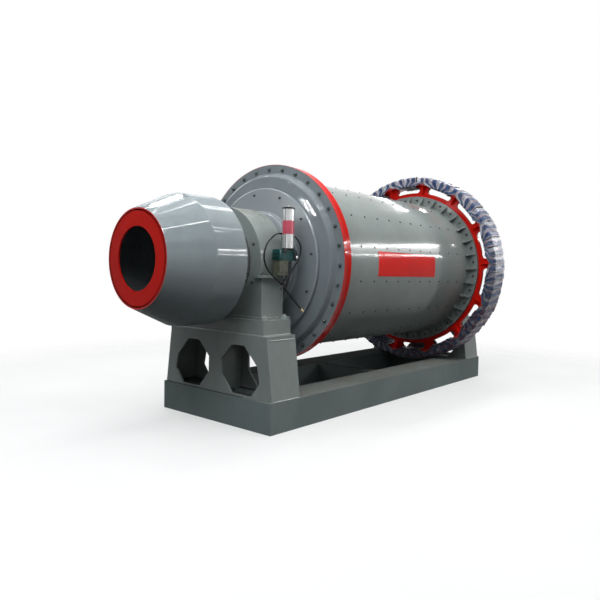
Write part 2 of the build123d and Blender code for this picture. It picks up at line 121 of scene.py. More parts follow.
class Tree:
    """A node tree, and the one method that adds a node to it."""

    def __init__(self, tree):
        self.tree = tree

    def node(self, kind, feeds=None, out=0, **settings):
        """A node with its settings and inputs, as the link of one of its outputs."""
        made = self.tree.nodes.new(kind)
        for name, value in settings.items():
            setattr(made, name, value)
        for name, feed in (feeds or {}).items():
            for one in feed if isinstance(feed, list) else [feed]:
                if isinstance(one, Link):
                    self.tree.links.new(one.socket, made.inputs[name])
                else:
                    made.inputs[name].default_value = one
        return Link(self, made.outputs[out]) if made.outputs else made

    def between(self, value, low, high, to_low=0.0, to_high=1.0):
        """value from low to high, spread over to_low to to_high with soft ends."""
        feeds = {0: value, 1: low, 2: high, 3: to_low, 4: to_high}
        return self.node("ShaderNodeMapRange", feeds, interpolation_type="SMOOTHSTEP")

    def parts(self, vector):
        """The three numbers of a vector, each as a link."""
        split = self.node("ShaderNodeSeparateXYZ", {0: vector})
        return [Link(self, output) for output in split.socket.node.outputs]


finishes = {}                       # every material by its name


class Finish(Tree):
    """A material made of nodes, in the object's own coordinates."""

    def __init__(self, name):
        finishes[name] = bpy.data.materials.new(name)
        finishes[name].use_nodes = True
        super().__init__(finishes[name].node_tree)
        self.tree.nodes.clear()
        self.place = self.node("ShaderNodeTexCoord", out=3)

    def parts(self, vector=None):
        return super().parts(vector or self.place)

    def drawn_out(self, share):
        """The object's coordinates, with what is on them drawn out in height."""
        return self.node("ShaderNodeMapping", {0: self.place, 3: (1.0, 1.0, share)})

    def cloud(self, scale, detail=3.0, rough=0.5, place=None):
        """Soft noise between 0 and 1."""
        return self.node("ShaderNodeTexNoise", {
            "Vector": place or self.place, "Scale": scale, "Detail": detail, "Roughness": rough})

    def mix(self, share, first, second):
        """The second colour by its share, and the first for the rest."""
        first, second = [c if isinstance(c, Link) else (*c, 1.0) for c in (first, second)]
        feeds = {0: share, 6: first, 7: second}
        return self.node("ShaderNodeMix", feeds, out=2, data_type="RGBA")

    def facing_up(self):
        """The Z of the object's own normal."""
        return self.parts(self.node("ShaderNodeTexCoord", out=1))[2]

    def bump(self, height, depth, strength, under=None):
        feeds = {"Height": height, "Distance": depth, "Strength": strength}
        if under:
            feeds["Normal"] = under
        return self.node("ShaderNodeBump", feeds)

    def done(self, tone, rough, normal, shine=0.5, metal=0.0, coat=0.0, matte=None):
        """Closes the material; where matte is given, its share of the paint has no gloss."""
        shader = self.node("ShaderNodeBsdfPrincipled", {
            "Base Color": tone, "Roughness": rough, "Normal": normal,
            "Specular IOR Level": shine, "Metallic": metal, "Coat Weight": coat})
        if matte:
            dull = self.node("ShaderNodeBsdfPrincipled", {
                "Base Color": tone, "Roughness": 0.6, "Specular IOR Level": 0.0})
            shader = self.node("ShaderNodeMixShader", {0: matte, 1: shader, 2: dull})
        self.node("ShaderNodeOutputMaterial", {0: shader})


def lit(colour, factor):
    return tuple(c * factor for c in colour)


# ---- finishes
GREY = (0.265, 0.300, 0.286)
GREY_BLUE = (0.245, 0.275, 0.292)
GREY_FEEDER = (0.2800, 0.3181, 0.3293)
GREY_STAND = (0.258, 0.2904, 0.276)
GREY_BASE = (0.2201, 0.2573, 0.2511)
RED = (0.700, 0.012, 0.007)
STEEL = (0.46, 0.46, 0.45)
DUST = (0.19, 0.17, 0.14)
PAINTED_SHADOW = (0.030, 0.033, 0.032)


def drum_radius(f):
    """The place along the drum's axis and the distance from it."""
    x, y, z = f.parts()
    up = z - AXIS_Z
    return x, (y * y + up * up) ** 0.5


def enamel(name, colour, gloss, dust=0.0, wave=0.0012, peel=0.00002, shine=0.13,
           red_from=None, red_before=None, shaded=None, dull_top=None, dull_under=False):
    """Sprayed gloss enamel over plate: faint clouding, orange peel and a slow waviness. It is
    red outside the radius red_from, with a dark joint beside the shell's flange, and red where
    x is less than red_before. Where y is more than shaded, its dusty upper faces are darkened
    by painted shadow, as under the drum. The gloss is dulled where the face looks up by more
    than dull_top, or down."""
    f = Finish(name)
    broad = f.cloud(1.1, 4.0, 0.55)
    fine = f.cloud(9.0, 5.0, 0.6)
    tone = f.mix(f.between(broad, 0.3, 0.7), lit(colour, 0.90), lit(colour, 1.08))
    tone = f.mix(f.between(fine, 0.35, 0.75, 0.0, 0.35), tone, lit(colour, 0.82))
    runs = f.cloud(5.0, 4.0, 0.6, f.drawn_out(0.12))
    tone = f.mix(f.between(runs, 0.55, 0.8, 0.0, 0.25), tone, lit(colour, 0.70))
    rough = gloss + f.between(fine, 0.3, 0.7, -0.02, 0.05)
    rough = rough + f.between(broad, 0.3, 0.7, -0.02, 0.03)
    if dust:
        up = f.between(f.facing_up(), 0.55, 0.98)
        settled = up * f.between(f.cloud(3.2, 6.0, 0.65), 0.32, 0.62, 0.25, 1.0) * dust
        tone = f.mix(settled, tone, DUST)
        rough = rough + settled * 0.4
        if shaded:
            # painted shadow: the upper faces past y = shaded, which lie under the drum, are
            # darkened as if in its shade
            tone = f.mix(up * (f.parts()[1] > shaded) * 0.8, tone, PAINTED_SHADOW)
    if red_from:
        x, radius = drum_radius(f)
        tone = f.mix(radius > red_from, tone, lit(RED, 0.95))
        joint = (radius > 1.0) * ((x - FLANGE_JOINT_X).alone("ABSOLUTE") < 0.0022)
        tone = f.mix(joint, tone, (0.02, 0.01, 0.01))
    if red_before:
        tone = f.mix(f.parts()[0] < red_before, tone, RED)
    skin = f.bump(f.cloud(330.0, 1.0, 0.4), peel, 0.5)
    plate = f.bump(f.cloud(2.3, 1.0, 0.4), wave, 0.8, skin)
    matte = None
    if dull_under:
        up = f.facing_up()
        matte = f.between(up, -0.70, -0.40, 0.85, 0.0)
        if dull_top:
            matte = matte + f.between(up, dull_top - 0.02, dull_top, 0.0, 0.8)
    f.done(tone, rough, plate, shine, matte=matte)


def turned_steel(name, colour, rough=0.3, bare=None):
    """Machined metal with fine turning marks, painted outside the bare length."""
    f = Finish(name)
    x, radius = drum_radius(f)
    marks = f.node("ShaderNodeCombineXYZ", {0: x * 900.0, 1: radius * 900.0})
    rings = f.cloud(1.0, 2.0, 0.6, marks)
    stain = f.cloud(7.0, 5.0, 0.6)
    tone = f.mix(f.between(rings, 0.3, 0.7), lit(colour, 0.82), colour)
    tone = f.mix(f.between(stain, 0.45, 0.75, 0.0, 0.5), tone, lit(colour, 0.45))
    metal = 1.0
    roughness = f.between(stain, 0.3, 0.7, rough - 0.06, rough + 0.12)
    if bare:
        metal = x.within(*bare)
        tone = f.mix(metal, GREY_BLUE, tone)
        roughness = roughness * metal + (1.0 - metal) * 0.22
    f.done(tone, roughness, f.bump(rings, 0.00008, 0.5), metal=metal)


def gear_steel():
    """Oiled cast steel teeth, with red paint on the rim's sides below them."""
    f = Finish("gear_steel")
    _, radius = drum_radius(f)
    stain = f.cloud(14.0, 5.0, 0.6)
    steel = f.mix(f.between(stain, 0.35, 0.7), (0.20, 0.19, 0.17), (0.10, 0.085, 0.06))
    painted = f.between(radius + f.cloud(30.0) * 0.006, 1.262, 1.266, 1.0, 0.0)
    red = f.mix(f.between(f.cloud(6.0, 4.0), 0.3, 0.7), RED, lit(RED, 0.75))
    f.done(f.mix(painted, steel, red), f.between(stain, 0.3, 0.7, 0.3, 0.5),
           f.bump(f.cloud(180.0), 0.0002, 0.5), metal=1.0 - painted, coat=painted * 0.5)


def simple_finish(name, colour, dark=0.7, scale=20.0, rough=0.4, metal=0.0, grain=150.0,
                  coat=0.0, shine=0.5):
    """A small part's finish: clouded tone, uneven gloss and a fine grain."""
    f = Finish(name)
    patch = f.cloud(scale, 4.0, 0.6)
    f.done(f.mix(f.between(patch, 0.3, 0.75), colour, lit(colour, dark)),
           f.between(patch, 0.3, 0.7, rough - 0.06, rough + 0.1),
           f.bump(f.cloud(grain), 0.0001, 0.6), shine, metal, coat)


def drawn_tube():
    """The reservoir's bright drawn tube, streaked along its length, under a black cap."""
    f = Finish("drawn_tube")
    streaks = f.cloud(90.0, 4.0, 0.65, f.drawn_out(0.02))
    tone = f.mix(f.between(streaks, 0.35, 0.66), (0.40, 0.41, 0.42), (0.80, 0.80, 0.79))
    smears = f.cloud(18.0, 4.0, 0.6, f.drawn_out(0.3))
    tone = f.mix(f.between(smears, 0.5, 0.75, 0.0, 0.5), tone, (0.30, 0.30, 0.30))
    cap = f.parts()[2] > 2.1155
    tone = f.mix(cap, tone, (0.016, 0.016, 0.018))
    f.done(tone, f.between(streaks, 0.3, 0.7, 0.24, 0.36), f.bump(streaks, 0.0002, 0.6), 0.3,
           metal=(1.0 - cap) * 0.55)


enamel("shell_enamel", GREY, gloss=0.12, wave=0.0026, dull_under=True)
enamel("head_enamel", GREY_BLUE, gloss=0.0, wave=0.0004, peel=0.000003)
enamel("rimmed_enamel", GREY_BLUE, gloss=0.0, wave=0.0004, peel=0.000003, red_from=1.0570)
enamel("feeder_enamel", GREY_FEEDER, gloss=0.05, wave=0.0006, peel=0.000008, shine=0.14,
       red_before=-2.8242, dull_top=0.86, dull_under=True)
enamel("flange_enamel", lit(GREY, 0.78), gloss=0.14)
# lighter than the paint round it, partly a painted highlight on the weld beads' edges; the anchor
# nuts share it
enamel("weld_enamel", (0.33, 0.37, 0.355), gloss=0.08, shine=0.5)
enamel("base_enamel", GREY_BASE, gloss=0.2, dust=0.6, shine=0.0, shaded=-0.4225)
enamel("stand_enamel", GREY_STAND, gloss=0.18, dust=0.5)
enamel("bearing_enamel", lit(GREY, 0.97), gloss=0.16, dust=0.35)
enamel("red_enamel", RED, gloss=0.12, shine=0.03)
enamel("plate_enamel", lit(RED, 1.22), gloss=0.08, shine=0.06)
enamel("head_bolt_enamel", (0.090, 0.110, 0.108), gloss=0.25, shine=0.3)
enamel("fastener_enamel", (0.052, 0.064, 0.064), gloss=0.35, shine=0.3)
turned_steel("trunnion_steel", STEEL, bare=(-1.90, -1.44))
turned_steel("discharge_trunnion_steel", STEEL, bare=(2.10, 2.50))
turned_steel("bearing_bronze", (0.55, 0.36, 0.16), rough=0.4)
gear_steel()
drawn_tube()
simple_finish("teal_enamel", (0.006, 0.085, 0.080), 0.4, 60.0, rough=0.3, shine=0.2)
simple_finish("bright_steel", (0.78, 0.78, 0.77), 0.85, rough=0.22, metal=1.0)
simple_finish("bracket_paint", (0.125, 0.130, 0.090), 0.5, 40.0, rough=0.5, shine=0.2)
simple_finish("black_plastic", (0.012, 0.012, 0.014), shine=0.2)
simple_finish("vent_plastic", (0.50, 0.50, 0.48))
simple_finish("hose_rubber", (0.006, 0.006, 0.007), rough=0.5, grain=400.0, shine=0.12)
simple_finish("plated_brass", (0.62, 0.5, 0.28), rough=0.3, metal=1.0)
simple_finish("dark_steel", (0.06, 0.06, 0.06), rough=0.42, metal=0.6)
simple_finish("red_band", (0.72, 0.085, 0.14), 0.75, 70.0, rough=0.3, coat=0.2)

# each node's finish, by the start of its name; the longest that fits counts
node_finish = {
    "base_": "base_enamel", "feed_pedestal": "stand_enamel", "discharge_pedestal": "stand_enamel",
    "feed_bearing": "bearing_enamel", "discharge_bearing": "bearing_enamel",
    "drum_shell": "shell_enamel", "manhole": "shell_enamel", "feed_head": "rimmed_enamel",
    "discharge_head": "head_enamel", "discharge_shell_flange": "flange_enamel",
    "feeder_": "feeder_enamel", "discharge_spout": "feeder_enamel",
    "feeder_mouth_ring": "red_enamel", "feed_shell_flange": "red_enamel",
    "gear_web": "red_enamel", "gear_wrap": "red_enamel", "gear_rim": "gear_steel",
    "feed_trunnion": "trunnion_steel", "discharge_trunnion": "discharge_trunnion_steel",
    "feed_bearing_bush": "bearing_bronze", "discharge_bearing_bush": "bearing_bronze",
    "grease_pump_body": "teal_enamel", "grease_pump_bracket": "bracket_paint",
    "grease_pump_reservoir": "drawn_tube", "grease_hose": "hose_rubber",
}
for node_name, node_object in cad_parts.items():
    best = max((key for key in node_finish if node_name.startswith(key)), key=len)
    node_object.data.materials.clear()
    node_object.data.materials.append(finishes[node_finish[best]])


# ---- camera
def linked(name, data):
    """A new object in the scene with the given data."""
    made = bpy.data.objects.new(name, data)
    bpy.context.scene.collection.objects.link(made)
    return made


def place_camera():
    """The photograph's own viewpoint, in front of the feed end, solved from bolts and corners."""
    yaw, pitch, roll = radians(40.9436), radians(-2.695), radians(1.066)
    forward = Vector((cos(yaw) * cos(pitch), sin(yaw) * cos(pitch), sin(pitch)))
    level = Vector((sin(yaw), -cos(yaw), 0.0))
    upright = level.cross(forward)
    right = level * cos(roll) + upright * sin(roll)
    up = upright * cos(roll) - level * sin(roll)
    data = bpy.data.cameras.new("camera")
    data.lens = 34.37
    data.sensor_width = 36.0
    data.clip_end = 200.0
    camera = linked("camera", data)
    turn = Matrix((right, up, -forward)).transposed()
    camera.matrix_world = Matrix.Translation((-5.6791, -4.3867, 1.4979)) @ turn.to_4x4()
    bpy.context.scene.camera = camera


place_camera()


# ---- hoses
def hose(name, route, node):
    """A free hose along its route, in the place of the CAD's own."""
    curve = bpy.data.curves.new(name, "CURVE")
    curve.dimensions = "3D"
    spline = curve.splines.new("NURBS")
    spline.points.add(len(route) - 1)
    for point, place in zip(spline.points, route):
        point.co = (*place, 1.0)
    spline.order_u = 3
    spline.use_endpoint_u = True
    spline.resolution_u = 12
    curve.bevel_depth = HOSE_R
    curve.bevel_resolution = 4
    curve.use_fill_caps = True
    curve.materials.append(finishes["hose_rubber"])
    made = linked(name, curve)
    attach(made, "mill_base")
    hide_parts(node)
    return made


long_hose = hose("grease_hose_line", LONG_HOSE, "grease_hose")
short_hose = hose("grease_hose_loop", SHORT_HOSE, "grease_hose_short")


# ---- mesh helpers
def soft_step(value, low, high):
    """0 below low and 1 above high, with a soft rise between them."""
    t = min(max((value - low) / (high - low), 0.0), 1.0)
    return t * t * (3 - 2 * t)


def add_mesh(name, mesh, finish, body, smooth):
    """Links a finished mesh as a piece that rides on a body."""
    mesh.name = name
    mesh.materials.clear()
    mesh.materials.append(finishes[finish])
    for face in mesh.polygons:
        face.use_smooth = True
    mesh.set_sharp_from_angle(angle=radians(smooth))
    piece = linked(name, mesh)
    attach(piece, body)
    return piece


def grown(host, tree, inputs):
    """A Geometry Nodes tree run on a host mesh, as a plain mesh."""
    holder = linked("holder", host)
    modifier = holder.modifiers.new("grown", "NODES")
    modifier.node_group = tree
    for socket in tree.interface.items_tree:
        if socket.in_out == "INPUT" and socket.name in inputs:
            modifier[socket.identifier] = inputs[socket.name]
    evaluated = holder.evaluated_get(bpy.context.evaluated_depsgraph_get())
    mesh = bpy.data.meshes.new_from_object(evaluated)
    bpy.data.objects.remove(holder)
    return mesh


def geometry_tree(name, inputs):
    """An empty Geometry Nodes tree with its named inputs, and its links to them."""
    group = bpy.data.node_groups.new(name, "GeometryNodeTree")
    kinds = {"Geometry": "NodeSocketGeometry", "Material": "NodeSocketMaterial",
             "Seed": "NodeSocketInt"}
    group.interface.new_socket(name="Geometry", in_out="OUTPUT", socket_type=kinds["Geometry"])
    for title in inputs:
        kind = kinds.get(title, "NodeSocketFloat")
        group.interface.new_socket(name=title, in_out="INPUT", socket_type=kind)
    tree = Tree(group)
    entry = group.nodes.new("NodeGroupInput")
    return tree, {title: Link(tree, entry.outputs[title]) for title in inputs}


def closed_tree(tree, given, made):
    """The tree's end: what it made becomes real and takes the given material."""
    real = tree.node("GeometryNodeRealizeInstances", {0: made})
    painted = tree.node("GeometryNodeSetMaterial",
                        {"Geometry": real, "Material": given["Material"]})
    tree.node("NodeGroupOutput", {0: painted})
    return tree.tree


class Shape:
    """A mesh put together from turned and bevelled forms before it becomes a piece."""

    def __init__(self):
        self.build = bmesh.new()

    def skin(self, rows):
        """Faces from each row of places to the next and back to the first, none on an axis."""
        rows = [[self.build.verts.new(place) for place in row] for row in rows]
        for first, last in zip(rows, rows[1:] + rows[:1]):
            for i in range(len(first)):
                j = (i + 1) % len(first)
                if first[i].co != last[i].co or first[j].co != last[j].co:
                    self.build.faces.new((first[i], last[i], last[j], first[j]))

    def turned(self, profile, start, way, sides):
        """A closed profile of (radius, height) turned round the line from start along way."""
        turn = Vector(way).to_track_quat("Z", "Y").to_matrix()
        turns = [tau * k / sides for k in range(sides)]
        self.skin([[Vector(start) + turn @ Vector((r * cos(a), r * sin(a), h)) for r, h in profile]
                   for a in turns])

    def block(self, low, high, bevel):
        """A box with rounded edges between two corners."""
        low, high = Vector(low), Vector(high)
        size = Matrix.Diagonal((*(high - low), 1.0))
        made = bmesh.ops.create_cube(
            self.build, size=1.0, matrix=Matrix.Translation((low + high) / 2) @ size)
        edges = {edge for vert in made["verts"] for edge in vert.link_edges}
        bmesh.ops.bevel(self.build, geom=list(edges), offset=bevel, segments=2, profile=0.6,
                        affect="EDGES", clamp_overlap=True)

    def torus(self, centre, way, radius, thick, around=36, sides=10):
        """A ring of round section round the line through its centre along way."""
        ring_profile = [(radius + thick * cos(tau * k / sides), thick * sin(tau * k / sides))
                        for k in range(sides)]
        self.turned(ring_profile, centre, way, around)

    def piece(self, name, finish, slot, body="mill_base", smooth=35):
        """What was put together, as a piece."""
        bmesh.ops.remove_doubles(self.build, verts=self.build.verts[:], dist=1e-6)
        bmesh.ops.recalc_face_normals(self.build, faces=self.build.faces[:])
        mesh = bpy.data.meshes.new(name)
        self.build.to_mesh(mesh)
        self.build.free()
        return add_mesh(name, mesh, finish, body, smooth)


def small_part(name, finish, slot, turned=(), blocks=(), **others):
    """A piece of turned forms (profile, start, way, sides) and blocks (low, high, bevel)."""
    shape = Shape()
    for form in turned:
        shape.turned(*form)
    for form in blocks:
        shape.block(*form)
    return shape.piece(name, finish, slot, **others)


BOLT_SIZES = ["Head radius", "Head height", "Washer radius", "Washer height",
              "Stud radius", "Stud height"]


def bolt_tree():
    """A bolt on every point of the host, standing along the point's own direction."""
    tree, given = geometry_tree("bolts_on_points", ["Geometry", *BOLT_SIZES, "Seed", "Material"])

    def frustum(sides, low, high, height, start):
        feeds = {"Vertices": sides, "Radius Top": high, "Radius Bottom": low, "Depth": height}
        cone = tree.node("GeometryNodeMeshCone", feeds)
        lift = tree.node("ShaderNodeCombineXYZ", {2: start})
        return tree.node("GeometryNodeTransform", {"Geometry": cone, "Translation": lift})

    head, washer = given["Head radius"], given["Washer height"]
    flat = given["Head height"] * 0.78
    chamfer = given["Head height"] * 0.22
    top = washer + given["Head height"]
    bolt = tree.node("GeometryNodeJoinGeometry", {0: [
        frustum(12, given["Washer radius"], given["Washer radius"] * 0.98, washer, 0.0),
        frustum(6, head, head, flat, washer),
        frustum(6, head, head * 0.86, chamfer, washer + flat),
        frustum(8, given["Stud radius"], given["Stud radius"] * 0.85, given["Stud height"], top),
    ]})
    facing = tree.node("GeometryNodeInputNamedAttribute", {"Name": "facing"},
                       data_type="FLOAT_VECTOR")
    aim = tree.node("FunctionNodeAlignRotationToVector", {"Vector": facing}, axis="Z")
    turn = tree.node("FunctionNodeRandomValue", {2: 0.0, 3: tau / 6, "Seed": given["Seed"]},
                     out=1, data_type="FLOAT")
    spin = tree.node("FunctionNodeAxisAngleToRotation", {"Axis": UP, "Angle": turn})
    aim = tree.node("FunctionNodeRotateRotation", {0: aim, 1: spin}, rotation_space="LOCAL")
    placed = tree.node("GeometryNodeInstanceOnPoints", {
        "Points": given["Geometry"], "Instance": bolt, "Rotation": aim})
    return closed_tree(tree, given, placed)


BOLTS = bolt_tree()


def bolts(name, spots, body, finish, size, seed):
    """Bolts at (place, direction) pairs, with their sizes in the order of BOLT_SIZES."""
    host = bpy.data.meshes.new(name + "_places")
    host.from_pydata([place for place, _ in spots], [], [])
    facing = host.attributes.new("facing", "FLOAT_VECTOR", "POINT")
    facing.data.foreach_set("vector", [c for _, way in spots for c in way])
    inputs = dict(zip(BOLT_SIZES, size)) | {"Seed": seed, "Material": finishes[finish]}
    return add_mesh(name, grown(host, BOLTS, inputs), finish, body, smooth=25)


def round_axis(x, radius, angle):
    """A point of the drum, its angle counted from the near side upwards."""
    a = radians(angle)
    return (x, -radius * cos(a), AXIS_Z + radius * sin(a))


def ring(x, radius, first, step, count, way):
    """The spots of bolts on a circle round the drum's axis, facing along X."""
    return [(round_axis(x, radius, first + i * step), (way, 0.0, 0.0)) for i in range(count)]


def bead_tree():
    """A rippled weld bead along the host's edges."""
    tree, given = geometry_tree("weld_beads", [
        "Geometry", "Bead radius", "Step", "Ripple", "Seed", "Material"])
    line = tree.node("GeometryNodeMeshToCurve", {0: given["Geometry"]})
    line = tree.node("GeometryNodeResampleCurve", {"Curve": line, "Length": given["Step"]},
                     mode="LENGTH")
    section = tree.node("GeometryNodeCurvePrimitiveCircle",
                        {"Resolution": 8, "Radius": given["Bead radius"]})
    bead = tree.node("GeometryNodeCurveToMesh",
                     {"Curve": line, "Profile Curve": section, "Fill Caps": True})
    place = tree.node("GeometryNodeInputPosition")
    grain = tree.node("ShaderNodeTexNoise", {
        "Vector": place, "W": given["Seed"], "Scale": 110.0, "Detail": 1.0}, noise_dimensions="4D")
    normal = tree.node("GeometryNodeInputNormal")
    push = tree.node("ShaderNodeVectorMath", {
        0: normal, "Scale": (grain - 0.5) * given["Ripple"]}, operation="SCALE")
    bead = tree.node("GeometryNodeSetPosition", {"Geometry": bead, "Offset": push})
    return closed_tree(tree, given, bead)


BEADS = bead_tree()


def welds(name, lines, body, finish, radius, seed, step=0.009):
    """Weld beads along lines of points; a line that is closed repeats its first point."""
    host = bpy.data.meshes.new(name + "_lines")
    points, edges = [], []
    for line in lines:
        start = len(points)
        points += line
        edges += [(start + i, start + i + 1) for i in range(len(line) - 1)]
    host.from_pydata(points, edges, [])
    inputs = {"Bead radius": radius, "Step": step, "Ripple": radius * 1.1, "Seed": seed,
              "Material": finishes[finish]}
    return add_mesh(name, grown(host, BEADS, inputs), finish, body, smooth=60)


def circle(x, radius):
    return [round_axis(x, radius, 360.0 * i / 128) for i in range(129)]


def box_line(low, high, z):
    (x0, y0), (x1, y1) = low, high
    return [(x0, y0, z), (x1, y0, z), (x1, y1, z), (x0, y1, z), (x0, y0, z)]


# ---- bolts, ribs and weld beads
# sizes in the order of BOLT_SIZES
LINER_BOLT = (0.0105, 0.005, 0.0128, 0.002, 0.0055, 0.002)
HEAD_BOLT = (0.0175, 0.014, 0.0220, 0.004, 0.0100, 0.010)
TRUNNION_BOLT = (0.0135, 0.013, 0.0165, 0.003, 0.0080, 0.008)
FLANGE_NUT = (0.0145, 0.013, 0.0180, 0.003, 0.0085, 0.010)
COVER_BOLT = (0.0135, 0.011, 0.0165, 0.003, 0.0060, 0.003)
EAR_BOLT = (0.0210, 0.022, 0.0270, 0.005, 0.0130, 0.018)
ANCHOR_NUT = (0.0290, 0.034, 0.0290, 0.004, 0.0160, 0.014)
MANHOLE_BOLT = (0.0130, 0.012, 0.0160, 0.003, 0.0080, 0.010)
PUMP_BOLT = (0.0065, 0.006, 0.0080, 0.0015, 0.0035, 0.002)

# the liner bolts: sixteen rows of ten along the shell, apart from the manhole's place
liner_spots = []
for row in range(16):
    angle = -10.8 + 22.5 * row
    out = (0.0, -cos(radians(angle)), sin(radians(angle)))
    for i in range(10):
        x = -0.7078 + 0.2475 * i
        if abs(x - MANHOLE_X) >= 0.32 or not 165.0 < angle < 195.0:
            liner_spots.append((round_axis(x, SHELL_R - 0.001, angle), out))
bolts("liner_bolts", liner_spots, "mill_drum", "fastener_enamel", LINER_BOLT, 3)

# the rings of bolts: first angle, step and count of a ring, then each ring's X and way out
feed_row, discharge_row = (122.73, -11.25, 32), (95.625, -11.25, 32)
trunnion_row = (97.31, -30.0, 12)
for name, x, row, way, size, seed in (
        ("feed_head_bolts", -1.189, feed_row, -1.0, HEAD_BOLT, 5),
        ("feed_trunnion_bolts", -1.294, trunnion_row, -1.0, TRUNNION_BOLT, 7),
        ("discharge_head_bolts", 1.979, discharge_row, 1.0, HEAD_BOLT, 9),
        ("discharge_trunnion_bolts", 2.084, trunnion_row, 1.0, TRUNNION_BOLT, 11),
        ("feed_flange_nuts", -1.081, feed_row, 1.0, FLANGE_NUT, 13),
        ("discharge_flange_nuts", 1.856, discharge_row, -1.0, FLANGE_NUT, 15)):
    radius = TRUNNION_BOLTS_R if row is trunnion_row else HEAD_BOLTS_R
    finish = "head_bolt_enamel" if size is HEAD_BOLT else "fastener_enamel"
    bolts(name, ring(x, radius, *row, way), "mill_drum", finish, size, seed)

# the bearings' bolts, and the beads that join pedestals, blocks and flanges
cap_spots, ear_spots, foot_spots, seam_lines = [], [], [], []
for end, bearing_x, out in BEARINGS:
    cap_spots += ring(bearing_x + out * 0.1675, COVER_BOLTS_R, 20.4, 45.0, 8, out)
    block_low, block_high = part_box(f"{end}_bearing_block")
    plate_low, plate_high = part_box(f"{end}_pedestal_top_plate")
    stand_low, stand_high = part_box(f"{end}_pedestal_side_plates")
    seam_lines.append(box_line(block_low[:2], block_high[:2], block_low[2] + 0.002))
    seam_lines.append(box_line(stand_low[:2], stand_high[:2], stand_low[2] + 0.003))
    for side in (-1.0, 1.0):
        ear_spots += [((bearing_x + out * 0.0285 + along, side * 0.531, EAR_Z), UP)
                      for along in (-0.106, 0.106)]
        foot_spots += [((bearing_x - out * along, side * 0.621, FOOT_Z), UP)
                       for along in (-0.1850, 0.0900)]
        edge_y = side * (stand_high[1] - 0.076)
        seam_lines.append([(x, edge_y, plate_low[2] - 0.003)
                           for x in (plate_low[0] + 0.02, plate_high[0] - 0.02)])
bolts("bearing_cover_bolts", cap_spots, "mill_base", "fastener_enamel", COVER_BOLT, 17)
bolts("cap_ear_bolts", ear_spots, "mill_base", "fastener_enamel", EAR_BOLT, 19)
bolts("anchor_nuts", foot_spots, "mill_base", "weld_enamel", ANCHOR_NUT, 21)
for end, low_x, high_x in (("feed", -1.900, -1.525), ("discharge", 2.165, 2.540)):
    small_part(f"{end}_pedestal_rib", "stand_enamel", "grey_paint",
               blocks=[((low_x, RIB_Y[0], RIB_Z[0]), (high_x, RIB_Y[1], RIB_Z[1]), 0.001)])
welds("frame_welds", seam_lines, "mill_base", "weld_enamel", 0.0055, 23)
gusset_lines = [[round_axis(x, SHELL_R + 0.001, 90.0 + 11.25 * k + side) for x in (1.757, 1.852)]
                for k in range(32) for side in (-0.42, 0.42)]
flange_lines = [circle(x, SHELL_R + 0.001) for x in (1.8535, -1.0785)]
welds("drum_welds", flange_lines + gusset_lines, "mill_drum", "shell_enamel", 0.0050, 25, 0.012)


# ---- feeder cone and drum
FLATS = 22
FIRST_BEND = 163.9
# half of each bend's angle round the axis, from the sharpest to those rolled nearly round
BENDS = (2.0, 6.5, 5.0, 7.0, 3.0, 2.4, 1.6, 6.5, 1.4, 4.5, 7.0, 7.4, 7.4, 6.8, 5.5, 7.0, 2.5, 6.0,
         3.5, 7.0, 2.2, 6.0)
MOUTH_X, CONE_END_X, FEEDER_BACK_X = -2.825, -2.440, -2.069
MOUTH_R, FEEDER_R = 0.450, 0.618
MOUTH_INNER_R, FEEDER_INNER_R, FEEDER_BACK_R = 0.4215, 0.604, 0.300
PLATE = 0.012


def soft_min(first, second, soft=0.0012):
    """The smaller of two radii, rounded where they cross."""
    low = min(first, second)
    return low - soft * log(exp((low - first) / soft) + exp((low - second) / soft))


def flat_radius(x, angle):
    """The pressed cone's radius: flats between bends of differing width, from a round mouth."""
    half = 180.0 / FLATS
    number = round((FIRST_BEND - angle) / (2 * half))
    to_bend = abs(FIRST_BEND - angle - 2 * half * number)
    bend = BENDS[number % FLATS]
    corner = MOUTH_R + (FEEDER_R - MOUTH_R) * (x - MOUTH_X) / (CONE_END_X - MOUTH_X)
    flat = min(half - to_bend, half - bend)
    radius = corner * cos(radians(half)) / cos(radians(flat))
    past, bend = radians(half - to_bend - flat), radians(bend)
    radius += radius * tan(radians(flat)) * (past - past * past / (2 * bend))
    whole = corner * (1 + cos(radians(half))) / 2
    share = soft_step(x, MOUTH_X, MOUTH_X + 0.05)
    return whole + (radius - whole) * share


def feeder_shell(name, node, outer, inner):
    """A closed shell: its outer line follows the flats, and its inner line is given as
    (x, radius), or without a radius as far inside the flats as the plate is thick."""
    steps = (0.0, 0.4, 0.8, 1.2, 1.6, 2.0, 2.6, 3.4, 4.4, 5.6, 7.0, 360.0 / FLATS / 2)
    angles = sorted({round(FIRST_BEND - 360.0 / FLATS * k + way * step, 6)
                     for k in range(FLATS) for step in steps for way in (-1, 1)})
    shape = Shape()
    rows = []
    for angle in angles:
        line = [(x, soft_min(FEEDER_R, flat_radius(x, angle))) for x in outer]
        line += [(x, r if r else flat_radius(x, angle) - PLATE) for x, r in inner]
        rows.append([round_axis(x, r, angle) for x, r in line])
    shape.skin(rows)
    made = shape.piece(name, "feeder_enamel", "grey_paint", "mill_drum", smooth=32)
    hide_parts(node)


cone_line = [MOUTH_X + (CONE_END_X - MOUTH_X) * t / 16 for t in range(17)]
feeder_shell("feeder_cone_shell", "feeder_cone", cone_line,
             [(CONE_END_X, None), (-2.60, None), (-2.76, None), (-2.800, MOUTH_INNER_R),
              (MOUTH_X, MOUTH_INNER_R)])
drum_line = [CONE_END_X + 0.006 * t for t in range(11)] + [-2.32, -2.22, -2.12, FEEDER_BACK_X]
feeder_shell("feeder_drum_shell", "feeder_drum", drum_line,
             [(FEEDER_BACK_X, FEEDER_BACK_R), (-2.081, FEEDER_BACK_R), (-2.081, FEEDER_INNER_R),
              (-2.36, FEEDER_INNER_R), (CONE_END_X, None)])

